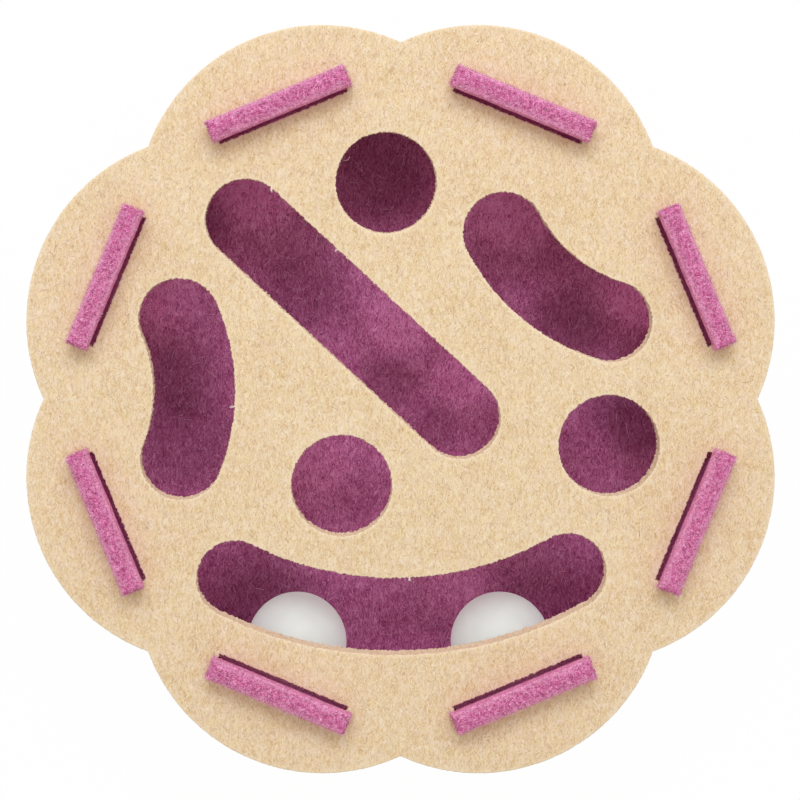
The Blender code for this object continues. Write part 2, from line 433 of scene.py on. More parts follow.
def walk(start, heading, length, parts, curl, draw):
    """Points of a fibre from its start. Its heading turns steadily, and a third as much at random."""
    points = [start]
    bend = draw.gauss(0.0, curl)
    aside = heading.orthogonal().normalized()
    aside.rotate(Matrix.Rotation(draw.uniform(0, 2 * math.pi), 3, heading))
    for _ in range(parts):
        heading = (heading + aside * (bend + draw.gauss(0.0, curl / 3))).normalized()
        points.append(points[-1] + heading * (length / parts))
    return points


def fibre_mesh(name, fibres):
    """One mesh of thin closed tubes, from (points, radius, tint) for each fibre."""
    places, faces, tints = [], [], []
    for points, radius, tint in fibres:
        first = len(places)
        for index, point in enumerate(points):
            ahead = points[min(index + 1, len(points) - 1)] - points[max(index - 1, 0)]
            across = ahead.orthogonal().normalized()
            upright = ahead.normalized().cross(across)
            thin = radius * (FIBRE_TIP if index in (0, len(points) - 1) else 1.0)
            for side in range(FIBRE_SIDES):
                turn = 2 * math.pi * side / FIBRE_SIDES
                places.append(point + thin * (math.cos(turn) * across + math.sin(turn) * upright))
                tints.append(tint)
        for index in range(len(points) - 1):
            low = first + index * FIBRE_SIDES
            for side in range(FIBRE_SIDES):
                after = (side + 1) % FIBRE_SIDES
                faces.append((low + side, low + after, low + FIBRE_SIDES + after, low + FIBRE_SIDES + side))
        faces.append(tuple(first + side for side in reversed(range(FIBRE_SIDES))))
        faces.append(tuple(len(places) - FIBRE_SIDES + side for side in range(FIBRE_SIDES)))
    mesh = bpy.data.meshes.new(name)
    mesh.from_pydata(places, [], faces)
    attribute = mesh.attributes.new("tint", "FLOAT", "POINT")
    attribute.data.foreach_set("value", tints)
    mesh.shade_smooth()
    return mesh


sample = walk(Vector(), Vector((0.0, 0.0, 1.0)), 4 * MM, 5, 0.25, random.Random(1))
print("a fibre of 4 mm ends", round((sample[-1] - sample[0]).length / MM, 2), "mm from its start")

# %% [markdown]
# ## Fibres on the skin
#
# Most loose fibres lie on the skin, mainly along the way in which the felt was needled. Fibres scattered by
# chance would also bridge the openings, so each of a fibre's points is held against the nearest cut line
# first, and a fibre that would leave the felt is dropped.

# %% Lay fibres on a skin
FACES_UP = 0.9  # the least upward part of a face's normal on the upper skin
SKIN_MARGIN = 0.3 * MM  # between a cut line and a fibre
SKIN_FIBRE_PARTS = 5
SKIN_FIBRE_CURL = 0.25
SKIN_FIBRE_ARCH = (0.04, 0.16)  # in millimetres, as the radii are
SKIN_FIBRE_SINK = 0.02 * MM
SKIN_FIBRE_RADII = (0.035, 0.065)


def skin_fibres(mesh, lines, count, angle, scatter, lengths, draw):
    """Fibres that lie on the upper skin of a flat sheet, mostly along one angle, and stay on the felt."""
    line_points = [place for line in lines for place in line]
    near = KDTree(len(line_points))
    for index, (point, _) in enumerate(line_points):
        near.insert((point.x, point.y, 0.0), index)
    near.balance()

    def on_felt(spot):
        point, way = line_points[near.find((spot.x, spot.y, 0.0))[1]]
        return (spot.xy - point).dot(way) > SKIN_MARGIN

    skin = [face for face in mesh.polygons if face.normal.z > FACES_UP]
    fibres = []
    for face in draw.choices(skin, weights=[face.area for face in skin], k=count):
        turn = math.radians(angle + draw.gauss(0.0, scatter)) + draw.choice((0.0, math.pi))
        length = draw.uniform(*lengths)
        heading = Vector((math.cos(turn), math.sin(turn), 0.0))
        flat = walk(Vector(), heading, length, SKIN_FIBRE_PARTS, SKIN_FIBRE_CURL, draw)
        arch = draw.uniform(*SKIN_FIBRE_ARCH) * MM
        points = []
        for index, point in enumerate(flat):
            height = arch * math.sin(math.pi * index / SKIN_FIBRE_PARTS) - SKIN_FIBRE_SINK
            points.append(face.center + Vector((point.x, point.y, height)))
        if all(on_felt(point) for point in points):
            fibres.append((points, draw.uniform(*SKIN_FIBRE_RADII) * MM, draw.random()))
    return fibres


print("skin fibres are", SKIN_FIBRE_RADII, "mm in radius")

# %% [markdown]
# ## Fibres at the cuts
#
# A cut lets many short fibres go: at the rims, on the skin beside it and on the cut face. One kind of hair
# all over would look like fur, so each place has its own way of growing. All of them follow the cut lines,
# and what they need there is the same: a point, the way into the felt, and the length of line that the
# point stands for.

# %% Grow fibres along the cut lines
CUT_FIBRE_PARTS = 3
CUT_FIBRE_CURL = 0.35
SIDE_FIBRE_CURL = 0.3
EDGE_FIBRE_RADII = (0.03, 0.05)  # in millimetres
SIDE_FIBRE_RADII = (0.025, 0.04)
CUT_FIBRE_RADII = (0.04, 0.08)
SIDE_REACH = 1.6  # in millimetres, how far beside a cut the skin has come loose
SIDE_SINK = 0.1 * MM
CUT_SINK = 0.15  # in millimetres


def steps_along(lines):
    """(point, way, length of the step before the point) for all points of the lines."""
    for line in lines:
        for index, (point, way) in enumerate(line):
            yield point, way, (line[index - 1][0] - point).length


def edge_fibres(lines, levels, gap, lengths, draw, wanted=lambda point: True):
    """Fibres that poke out of the cut lines at the given levels, one for each gap along a line."""
    fibres = []
    for point, way, step in steps_along(lines):
        for level in levels:
            for _ in range(int(step / gap + draw.random())):
                if not wanted(point):
                    continue
                inset = draw.uniform(0.05, 0.5) * MM
                start = Vector((*(point + way * inset), level + draw.uniform(-0.15, 0.05) * MM))
                outwards = Vector((-way.x, -way.y, draw.gauss(0.0, 0.5)))
                heading = (outwards + Vector((-way.y, way.x, 0.0)) * draw.gauss(0.0, 0.8)).normalized()
                path = walk(start, heading, draw.uniform(*lengths), CUT_FIBRE_PARTS, CUT_FIBRE_CURL, draw)
                fibres.append((path, draw.uniform(*EDGE_FIBRE_RADII) * MM, draw.random()))
    return fibres


def side_fibres(lines, level, side, gap, lengths, draw, wanted):
    """Fibres that stand out of a skin beside the cuts. side is 1 on the upper skin and -1 on the lower."""
    fibres = []
    for point, way, step in steps_along(lines):
        if not wanted(point):
            continue
        for _ in range(int(step / gap + draw.random())):
            flat = point + way * abs(draw.gauss(0.0, SIDE_REACH)) * MM
            start = Vector((*flat, level - side * SIDE_SINK))
            heading = Vector((-way.x, -way.y, 0.0)) * draw.uniform(-0.2, 0.9) + Vector((0.0, 0.0, side))
            heading = (heading + Vector((-way.y, way.x, 0.0)) * draw.gauss(0.0, 0.7)).normalized()
            path = walk(start, heading, draw.uniform(*lengths), CUT_FIBRE_PARTS, SIDE_FIBRE_CURL, draw)
            fibres.append((path, draw.uniform(*SIDE_FIBRE_RADII) * MM, draw.random()))
    return fibres


def cut_fibres(lines, bottom, top, gap, lengths, rise, draw, wanted):
    """Fibres on the cut face. They lie along it with a small rise, and stand out of it with a large one."""
    fibres = []
    for point, way, step in steps_along(lines):
        if not wanted(point):
            continue
        for _ in range(int(step * (top - bottom) / gap**2 + draw.random())):
            start = Vector((*point, draw.uniform(bottom, top))) + Vector((*way, 0.0)) * CUT_SINK * MM
            outwards = Vector((-way.x, -way.y, 0.0)) * rise
            along = Vector((-way.y, way.x, 0.0)) * draw.gauss(0.0, 0.7)
            heading = (outwards + along + Vector((0.0, 0.0, draw.gauss(0.0, 0.7)))).normalized()
            path = walk(start, heading, draw.uniform(*lengths), CUT_FIBRE_PARTS, CUT_FIBRE_CURL, draw)
            fibres.append((path, draw.uniform(*CUT_FIBRE_RADII) * MM, draw.random()))
    return fibres


line_length = sum(step for _, _, step in steps_along([smooth_line(longest, LID_STEP)]))
print("the lid's outline is", round(line_length / MM), "mm long")

# %% [markdown]
# ## Tufts
#
# At a few places a small tuft hangs over the edge of an opening. Chance wouldn't put one where the
# photograph shows it, so each tuft is placed one by one and bends by a set amount in each of its parts.

# %% Make tufts
TUFT_PARTS = 8
TUFT_WIDTH = 0.15  # in millimetres
TUFT_SPLAY = 9.0  # in degrees
TUFT_SINK = 0.05 * MM
# The tufts that the photograph shows at the openings: x, y, angle, length, fibres, bend of each part, radius
LOOSE_ENDS = (
    (-49.4, 81.5, 235.0, 1.9, 9, 6.0, 0.11),
    (-24.1, 57.7, 225.0, 1.3, 7, -5.0, 0.11),
    (-22.6, 92.6, 285.0, 4.4, 1, 21.0, 0.05),
    (-63.4, -2.8, 181.0, 2.3, 4, 2.0, 0.11),
    (3.5, -68.4, 268.0, 1.6, 8, 0.0, 0.11),
)


def loose_ends(places, level, draw):
    """Tufts that rise a little at the rim of an opening and then hang over it."""
    fibres = []
    for x, y, angle, length, count, bend, radius in places:
        for _ in range(count):
            point = Vector((x * MM, y * MM, level - TUFT_SINK))
            point += Vector((draw.gauss(0.0, TUFT_WIDTH), draw.gauss(0.0, TUFT_WIDTH), 0.0)) * MM
            turn = math.radians(angle + draw.gauss(0.0, TUFT_SPLAY))
            path = [point]
            for part in range(TUFT_PARTS):
                rise = 0.25 - 0.1 * part
                step = Vector((math.cos(turn), math.sin(turn), rise)) * length / TUFT_PARTS * MM
                path.append(path[-1] + step)
                turn += math.radians(bend)
            fibres.append((path, radius * MM, draw.random()))
    return fibres


print(len(LOOSE_ENDS), "tufts of", sum(place[4] for place in LOOSE_ENDS), "fibres in all")

# %% [markdown]
# ## Colours and nodes
#
# A colour read off a picture can't go into a shader as it is, because a picture stores it along a curve. It
# is turned into linear values first. Node trees could be drawn by hand in the editor, but a script can be
# read and run again, so a small class adds nodes, joins them, and knows the few groups that the finishes
# share.

# %% Helpers for materials
WHITE = (1.0, 1.0, 1.0, 1.0)


def linear(red, green, blue):
    """A colour as a picture shows it, from 0 to 255, in the linear values that a shader needs."""
    shares = [level / 255 for level in (red, green, blue)]
    return tuple(s / 12.92 if s <= 0.04045 else ((s + 0.055) / 1.055) ** 2.4 for s in shares) + (1.0,)


class Nodes:
    """A short way to add and join the nodes of one material."""

    def __init__(self, material):
        self.tree = material.node_tree
        self.made = 0

    def add(self, kind, settings=None, **inputs):
        """A new node. An input is told by its name, or by n and its number."""
        node = self.tree.nodes.new("ShaderNode" + kind)
        node.location = (-200 * (self.made // 6), -180 * (self.made % 6))
        self.made += 1
        for name, value in (settings or {}).items():
            setattr(node, name, value)
        for name, value in inputs.items():
            key = int(name[1:]) if name[1:].isdigit() else name.replace("_", " ")
            self.set(node.inputs[key], value)
        return node

    def set(self, socket, value):
        """Joins the socket to another one, or gives it a plain value."""
        if isinstance(value, bpy.types.NodeSocket):
            self.tree.links.new(value, socket)
        else:
            socket.default_value = value

    def maths(self, operation, *values, clamp=False):
        inputs = {f"n{index}": value for index, value in enumerate(values)}
        return self.add("Math", {"operation": operation, "use_clamp": clamp}, **inputs).outputs[0]

    def vector(self, operation, **inputs):
        return self.add("VectorMath", {"operation": operation}, **inputs).outputs["Vector"]

    def noise(self, place, scale, detail, output="Fac", **inputs):
        return self.add("TexNoise", Vector=place, Scale=scale, Detail=detail, **inputs).outputs[output]

    def attribute(self, name):
        return self.add("Attribute", {"attribute_name": name}).outputs["Fac"]

    def spread(self, value, low, high, curve="LINEAR"):
        """value from low to high, as 0 to 1."""
        node = self.add("MapRange", {"interpolation_type": curve}, Value=value, From_Min=low, From_Max=high)
        return node.outputs["Result"]

    def swing(self, base, value, weight):
        """base, moved up or down by as much as value lies off one half."""
        return self.maths("MULTIPLY_ADD", self.maths("SUBTRACT", value, 0.5), weight, base)

    def mix(self, factor, below, above):
        return self.add("Mix", {"data_type": "RGBA"}, n0=factor, n6=below, n7=above).outputs[2]

    def tones(self, value, dark, plain, pale):
        """dark at 0, plain at one half and pale at 1."""
        below = self.mix(self.spread(value, 0.0, 0.5), linear(*dark), linear(*plain))
        return self.mix(self.spread(value, 0.5, 1.0), below, linear(*pale))

    def multiplied(self, colour, share, factor):
        """The colour, times factor where share is 1."""
        return self.vector("MULTIPLY", n0=colour, n1=self.mix(share, WHITE, (*factor, 1.0)))

    def cells(self, place, scale):
        """Two random values from 0 to 1 for each small cell."""
        cell = self.add("TexVoronoi", Vector=place, Scale=scale)
        return self.add("SeparateColor", n0=cell.outputs["Color"]).outputs[:2]


def new_material(name, **finish):
    """A material, its shader and its nodes. finish holds the values that are the same all over it."""
    material = bpy.data.materials.new(name)
    material.use_nodes = True
    shader = material.node_tree.nodes["Principled BSDF"]
    for socket, value in finish.items():
        shader.inputs[socket.replace("_", " ")].default_value = value
    return material, shader, Nodes(material)


print("a level of 128 in a picture is", round(linear(128, 128, 128)[0], 3), "in a shader")

# %% [markdown]
# ## Painted light and shade on the floor
#
# The pink floor is paler at some places and darker at others, where light falls through the openings. Light
# that falls through the openings may do that, or uneven dye. Lamps that throw such patches would have to be
# guessed one by one. Soft spots of painted light and painted shade give the same picture and stay on the
# base when it is seen from elsewhere.

# %% Nodes for painted light and shade on felt
SPOT_CORE = 0.3  # of a spot's radius, inside which it has its full strength
LIGHT_SPOT_POWERS = (1.0, 1.25, 1.2)  # each spot of painted light and shade changes green and blue more than red


def with_painted_light(nodes, colour, place, normal, spots):
    """The colour with soft spots of painted light and shade (x, y, radius, strength) on the upper side, paler
    above 1.
    """
    if not spots:
        return colour
    on_upper_side = nodes.spread(normal, 0.0, 0.5)
    flat = nodes.vector("MULTIPLY", n0=place, n1=(1.0, 1.0, 0.0))
    for x, y, radius, strength in spots:
        away = nodes.add("VectorMath", {"operation": "DISTANCE"}, n0=flat, n1=(x * MM, y * MM, 0.0))
        share = nodes.spread(away.outputs["Value"], radius * MM, SPOT_CORE * radius * MM, "SMOOTHSTEP")
        shown = nodes.maths("MULTIPLY", share, on_upper_side)
        colour = nodes.multiplied(colour, shown, [strength**power for power in LIGHT_SPOT_POWERS])
    red = nodes.add("SeparateXYZ", n0=colour).outputs["X"]
    within = nodes.maths("DIVIDE", 1.0, nodes.maths("MAXIMUM", red, 1.0))  # keeps the palest fibres' hue
    return nodes.vector("SCALE", n0=colour, Scale=within)


print("a spot's full strength covers", round(100 * SPOT_CORE**2), "% of its area")

# %% [markdown]
# ## Needled felt as a material
#
# Felt has no weave: short fibres lie in every direction, and at a cut their ends show as dark and light
# grains. An image could hold that, but a pattern worked out at each point holds at any size. Voronoi cells
# stretched along one direction look like single fibres, each with a tint of its own, so three such layers
# at different angles are averaged. The cut faces get round cells instead. They are told from the skins by
# the object's own normal, which lies flat there. The rim between both is painted on the mesh as an
# attribute, and made paler there, partly for its fraying and partly as painted highlight.

# %% Nodes for felt
FIBRE_LAYERS = ((84.0, 0.5), (112.0, 0.3), (48.0, 0.2))  # angle, and share in the tone
FIBRES_PER_M = 2900.0  # across the fibres
FIBRE_STRETCH = 0.20
WANDER_PER_M = 330.0
WANDER = 0.0034  # how far the fibres stray from straight lines
CLOUDS_PER_M = 210.0
WIDE_CLOUDS_PER_M = 45.0
WIDE_CLOUD_SHARE = 0.25
HUES_PER_M = 260.0
GRAINS_PER_M = 2700.0
CLUMPS_PER_M = 700.0
CLUMP_SHARE = 0.8
CUT_NORMAL = (0.93, 0.70)  # upward part of the normal, where the cut face starts and where it is plain
BUMP_HEIGHT = 0.25 * MM


def fibrous_tone(nodes, place, contrast, cloud_share):
    """How pale the skin is, about one half, and the hue of the fibre that lies there."""
    wander = nodes.noise(place, WANDER_PER_M, 2.0, "Color")
    offset = nodes.vector("SUBTRACT", n0=wander, n1=(0.5, 0.5, 0.5))
    bent = nodes.vector("ADD", n0=place, n1=nodes.vector("SCALE", n0=offset, Scale=WANDER))
    tone = 0.5
    for index, (angle, share) in enumerate(FIBRE_LAYERS):
        turned = nodes.add("Mapping", Vector=bent, Rotation=(0.0, 0.0, -math.radians(angle)))
        squeezed = nodes.add(
            "Mapping",
            Vector=turned.outputs[0],
            Location=(0.031 * index, 0.017 * index, 0.0),  # so that no two layers share their cells
            Scale=(FIBRE_STRETCH, 1.0, 1.0),
        )
        fibre, hue = nodes.cells(squeezed.outputs[0], FIBRES_PER_M)
        tone = nodes.swing(tone, fibre, contrast * share)
    tone = nodes.swing(tone, nodes.noise(place, CLOUDS_PER_M, 3.0, Roughness=0.6), contrast * cloud_share)
    tone = nodes.swing(tone, nodes.noise(place, WIDE_CLOUDS_PER_M, 3.0), contrast * WIDE_CLOUD_SHARE)
    return tone, hue


def grainy_tone(nodes, place):
    """How pale the cut ends of the fibres are."""
    grain = nodes.maths("MULTIPLY_ADD", nodes.cells(place, GRAINS_PER_M)[0], 0.62, 0.19)
    return nodes.swing(grain, nodes.noise(place, CLUMPS_PER_M, 2.0), CLUMP_SHARE)


def felt_material(
    name, skin, cut, rim, rim_share, contrast, bump_strength, sheen,
    cloud_share=0.45, free_skin=None, hue_drift=None, light_and_shade_spots=(),
):
    """Felt with a fibrous skin and grainy cut faces.

    skin and cut are (dark, plain, pale) colours as a picture shows them, and contrast widens the tones.
    free_skin takes the place of skin where the felt stands free, paler partly as painted light. hue_drift is
    what the skin's colour is multiplied by where its hue is furthest off. The last argument holds the spots
    of painted light and painted shade.
    """
    material, shader, nodes = new_material(
        name,
        Roughness=0.95,
        Specular_IOR_Level=0.15,
        Sheen_Weight=sheen,
        Sheen_Roughness=0.6,
        Sheen_Tint=linear(*rim),
    )
    coordinates = nodes.add("TexCoord")
    place = coordinates.outputs["Object"]
    tone, own_hue = fibrous_tone(nodes, place, contrast, cloud_share)
    colour = nodes.tones(tone, *skin)
    if hue_drift:
        drifts = nodes.spread(nodes.noise(place, HUES_PER_M, 3.0), 0.3, 0.7)
        hue = nodes.maths("MULTIPLY", nodes.maths("ADD", drifts, own_hue), 0.5)
        colour = nodes.multiplied(colour, hue, hue_drift)
    if free_skin:
        colour = nodes.mix(nodes.attribute("free"), colour, nodes.tones(tone, *free_skin))

    grain = grainy_tone(nodes, place)
    normal = nodes.add("SeparateXYZ", n0=coordinates.outputs["Normal"]).outputs["Z"]
    on_cut = nodes.spread(nodes.maths("ABSOLUTE", normal), *CUT_NORMAL)
    colour = nodes.mix(on_cut, colour, nodes.tones(grain, *cut))
    # the pale rim: partly fraying fibres, partly painted highlight where the edges catch the light
    fray_and_highlight = nodes.maths("MULTIPLY", grain, 2 * rim_share, clamp=True)
    fray_and_highlight = nodes.maths("MULTIPLY", nodes.attribute("rim"), fray_and_highlight)
    colour = nodes.mix(fray_and_highlight, colour, linear(*rim))
    # the spots of painted light and painted shade go on last
    nodes.set(shader.inputs["Base Color"], with_painted_light(nodes, colour, place, normal, light_and_shade_spots))

    height = nodes.add("Mix", {"data_type": "FLOAT"}, n0=on_cut, n2=tone, n3=grain).outputs[0]
    bump = nodes.add("Bump", Height=height, Strength=bump_strength, Distance=BUMP_HEIGHT)
    nodes.set(shader.inputs["Normal"], bump.outputs["Normal"])
    return material


def fibre_material(name, dark, plain, pale):
    """Single fibres, each with its own tint."""
    material, shader, nodes = new_material(name, Roughness=0.8, Specular_IOR_Level=0.2)
    nodes.set(shader.inputs["Base Color"], nodes.tones(nodes.attribute("tint"), dark, plain, pale))
    return material


print("a fibre in the skin is about", round(1000 / FIBRES_PER_M, 2), "mm wide")

# %% [markdown]
# ## The felts of this mat
#
# The lid is beige, and its hue wanders a little towards yellow. The base is a deep pink, and the panels are
# cut from the same felt. One material could serve both, but a panel's head frays and shows more of the pale
# cut fibres than the flat base does. It stands in full light, too, so its free skin is paler as painted
# light.

# %% Mix the colours
PINK_SKIN = ((136, 50, 98), (202, 109, 165), (240, 164, 216))
# Painted light and shade on the floor, where it is paler or darker: x, y, radius and strength. They were
# corrected by how far the floor's brightness in a render was off the photograph's.
FLOOR_LIGHT_AND_SHADE_SPOTS = (
    (-8, 92, 32, 0.62),
    (-86, -20, 28, 0.64),
    (-91, 5, 22, 0.62),
    (-54, -90, 34, 0.61),
    (60, -84, 28, 0.76),
    (25, -78, 18, 1.30),
    (101, -12, 20, 0.66),
    (87, -2, 18, 0.69),
    (84, -32, 16, 1.15),
    (47, 86, 33, 1.60),
    (-58, 88, 26, 1.65),
    (-82, 72, 16, 0.70),
    (101, 42, 22, 1.75),
    (-98, 44, 24, 1.40),
    (-36, -29, 24, 1.28),
    (-40, 42, 28, 0.66),
    (-5, 4, 18, 0.66),
    (14, -14, 16, 0.72),
    (27, 7, 19, 1.42),
    (2, 30, 22, 1.35),
    (70, 28, 22, 0.62),
)
beige_felt = felt_material(
    "beige_felt",
    skin=((199, 162, 121), (237, 214, 186), (252, 239, 227)),
    # the cut faces' grain is the felt's own; their paleness is painted light lifting them where they lie in
    # shade
    cut=((214, 170, 128), (247, 219, 184), (253, 238, 214)),
    # the rim's pale colour is partly fraying and partly painted highlight
    rim=(252, 234, 206),
    rim_share=0.5,
    contrast=0.85,
    bump_strength=0.35,
    sheen=0.05,
    cloud_share=0.34,
    hue_drift=(1.0, 0.97, 0.75),
)
pink_felt = felt_material(
    "pink_felt",
    skin=PINK_SKIN,
    cut=((132, 50, 92), (206, 118, 166), (240, 170, 212)),
    # the rim's pale colour is partly fraying and partly painted highlight
    rim=(240, 176, 212),
    rim_share=0.6,
    contrast=1.15,
    bump_strength=0.5,
    sheen=0.15,
    # pools of painted light and shade on the floor
    light_and_shade_spots=FLOOR_LIGHT_AND_SHADE_SPOTS,
)
upright_felt = felt_material(
    "upright_pink_felt",
    skin=PINK_SKIN,
    cut=((128, 26, 84), (224, 112, 170), (255, 196, 234)),
    # the rim's pale colour is partly fraying and partly painted highlight
    rim=(252, 182, 220),
    rim_share=0.6,
    contrast=1.2,
    bump_strength=0.7,
    sheen=0.12,
    # paler where the head stands free, partly from fraying and partly as painted light
    free_skin=((184, 84, 138), (222, 124, 176), (250, 180, 220)),
)
beige_fibre = fibre_material("beige_fibre", (206, 170, 124), (240, 216, 180), (255, 244, 226))
pink_fibre = fibre_material("pink_fibre", (186, 74, 132), (246, 158, 206), (255, 226, 244))
tuft_fibre = fibre_material("tuft_fibre", (250, 230, 218), (255, 240, 232), (255, 248, 244))
for felt in (beige_felt, pink_felt, upright_felt):
    print(felt.name, "has", len(felt.node_tree.nodes), "nodes")

# %% [markdown]
# ## The lid and the base
#
# With the helpers in place, each piece is a few lines of cutting. The lid's openings are cut by hand: their
# faces are ragged and show at the lower edges, because the knife drifted as it went down. Its outline is
# cut cleanly. Straight faces would be simpler, but then those pale crescents under the openings would be
# missing.

# %% Cut the lid
KNIFE_DRIFT = Vector((-0.20, 0.75)) * MM  # of the knife from the upper to the lower side
SLOTS_START = 100.0 * MM  # from the middle
OUTLINE_RAGGEDNESS = 0.25
OPENING_RAGGEDNESS = 1.0
pieces = []


def lid_cuts(lines):
    """How ragged each of the lid's cut lines is, and how far the knife drifted there."""
    outline = max(lines, key=len)
    cuts = []
    for line in lines:
        middle = sum((point for point, _ in line), Vector((0.0, 0.0))) / len(line)
        is_opening = line is not outline and middle.length < SLOTS_START
        drift = KNIFE_DRIFT if is_opening else Vector((0.0, 0.0))
        cuts.append((OUTLINE_RAGGEDNESS if line is outline else OPENING_RAGGEDNESS, drift))
    return cuts


def dress(name, mesh, material, axes=Matrix(), replaced=None):
    """Shows a piece of the box and tells the frame what it rides on and replaces."""
    piece = show(name, mesh, material, axes)
    if replaced:
        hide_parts(replaced)
    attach(piece, "box")
    pieces.append(piece)


draw = random.Random(41)
loops, bottom, top = cut_lines("lid", Matrix())
lines = [smooth_line(loop, LID_STEP) for loop in loops]
inner_lines = sorted(lines, key=len)[:-1]
lid_mesh = felt_sheet("lid_felt", lines, bottom, top, pitch=2.2 * MM, seed=11, cuts=lid_cuts(lines))
dress("lid_felt", lid_mesh, beige_felt, replaced="lid")
fibres = skin_fibres(
    lid_mesh, lines, count=4600, angle=88.0, scatter=32.0, lengths=(1.2 * MM, 4.2 * MM), draw=draw
)
fibres += edge_fibres(inner_lines, (top, bottom), gap=0.9 * MM, lengths=(0.25 * MM, 0.7 * MM), draw=draw)
tufts = loose_ends(LOOSE_ENDS, top, draw)
dress("lid_fibres", fibre_mesh("lid_fibres", fibres), beige_fibre)
dress("lid_tufts", fibre_mesh("lid_tufts", tufts), tuft_fibre)
print(len(fibres), "fibres and", len(tufts), "tuft fibres on the lid")

# %% Cut the base
loops, bottom, top = cut_lines("base", Matrix())
lines = [smooth_line(loop, 0.9 * MM) for loop in loops]
base_mesh = felt_sheet("base_felt", lines, bottom, top, pitch=3.0 * MM, seed=12)
dress("base_felt", base_mesh, pink_felt, replaced="base")
fibres = skin_fibres(
    base_mesh, lines, count=5600, angle=80.0, scatter=45.0, lengths=(1.5 * MM, 6.5 * MM), draw=draw
)
fibres += edge_fibres(lines, (top, bottom), gap=4.0 * MM, lengths=(0.4 * MM, 1.0 * MM), draw=draw)
dress("base_fibres", fibre_mesh("base_fibres", fibres), pink_fibre)
print(len(fibres), "fibres on the base")

# %% [markdown]
# ## The side panels
#
# A panel is held tight in the slots, but its head stands free above the lid, so there the felt spreads a
# little and frays most. A second piece for the head could do that, but the seam would show, so one sheet
# changes its thickness and its edge with height. A ball can rest against the inner edge of a panel's
# porthole, so no fibres grow there.

# %% Cut the panels
HEAD_SPREAD = (1.3 * MM, 0.8 * MM)  # towards the middle of the mat, and outwards
HEAD_FREE_START = 0.5 * MM  # above the lid
HEAD_FREE_END = 3.5 * MM
HEAD_DOME_GROWTH = 2.5 * MM  # the length over which doming grows, from near the end of a head
HEAD_SQUARE_SHARE = 0.4  # of that length, left square at the end
HEAD_START = 0.4 * MM  # above the lid, where the fibres change
HEAD_RIM_DEPTH = 0.6 * MM  # of the edge fibres, below each skin


def head_freedom(point):
    """How far a panel stands free at a height, which is the point's y."""
    share = (point.y - lid_high.z - HEAD_FREE_START) / (HEAD_FREE_END - HEAD_FREE_START)
    share = min(max(share, 0.0), 1.0)
    return share * share * (3 - 2 * share)


def head_doming(point, half_length):
    """The same, but none at the two ends of a head, which stay square."""
    from_end = (half_length - abs(point.x)) / HEAD_DOME_GROWTH
    return head_freedom(point) * min(max(from_end - HEAD_SQUARE_SHARE, 0.0), 1.0)


def above_lid(point):
    return point.y > lid_high.z + HEAD_START


def below_lid(point):
    return not above_lid(point)


def panel_fibres(lines, bottom, top, draw):
    """Few fibres below the lid, and a frayed head."""
    inner, outer = bottom - HEAD_SPREAD[0], top + HEAD_SPREAD[1]
    rims = (inner + HEAD_RIM_DEPTH, outer - HEAD_RIM_DEPTH)
    outline = max(lines, key=len)
    below = {"gap": 2.5 * MM, "lengths": (0.4 * MM, 1.0 * MM), "draw": draw, "wanted": below_lid}
    above = {"draw": draw, "wanted": above_lid}
    standing = {"gap": 1.1 * MM, "lengths": (0.3 * MM, 0.8 * MM), "rise": 1.0}
    lying = {"gap": 0.7 * MM, "lengths": (0.6 * MM, 1.8 * MM), "rise": 0.25}
    fibres = edge_fibres(lines, rims, gap=0.4 * MM, lengths=(0.3 * MM, 0.8 * MM), **above)
    fibres += edge_fibres(lines, (top,), **below)
    fibres += edge_fibres([outline], (bottom,), **below)
    fibres += side_fibres(lines, inner, -1, gap=0.22 * MM, lengths=(0.3 * MM, 0.9 * MM), **above)
    fibres += side_fibres(lines, outer, 1, gap=0.15 * MM, lengths=(0.4 * MM, 1.2 * MM), **above)
    fibres += cut_fibres(lines, inner, outer, **standing, **above)
    fibres += cut_fibres(lines, inner, outer, **lying, **above)
    return fibres


for number, node in enumerate(panel_names):
    axes = panel_axes(node)
    loops, bottom, top = cut_lines(node, axes)
    lines = [smooth_line(loop, 0.7 * MM) for loop in loops]
    half_length = max(point.x for line in lines for point, _ in line if above_lid(point))
    shape = (head_freedom, partial(head_doming, half_length=half_length), HEAD_SPREAD)
    mesh = felt_sheet(f"{node}_felt", lines, bottom, top, 2.4 * MM, 20 + number, *shape)
    dress(f"{node}_felt", mesh, upright_felt, axes, replaced=node)
    fibres = panel_fibres(lines, bottom, top, random.Random(60 + number))
    dress(f"{node}_fibres", fibre_mesh(f"{node}_fibres", fibres), pink_fibre, axes)
print(len(fibres), "fibres on the last panel")
print("triangles:", sum(len(p.vertices) - 2 for piece in pieces for p in piece.data.polygons))

# %% [markdown]
# ## The balls
#
# The balls are smooth white plastic with a thin wall, which lets some light through. A hollow ball of
# glassy plastic would need many bounces of light, so a solid one with subsurface scattering and a weak glow
# stands in for it. The frame holds the balls as faceted solids, and a finer ball takes the place of each.
# It has the faint seam where the two halves of such a ball are joined.

# %% Mix the balls' plastic
GLOW_THROUGH = 0.28  # stands for the light that passes through the thin wall of a hollow ball
MOTTLES_PER_M = 180.0
PLASTIC_GRAINS_PER_M = 2600.0


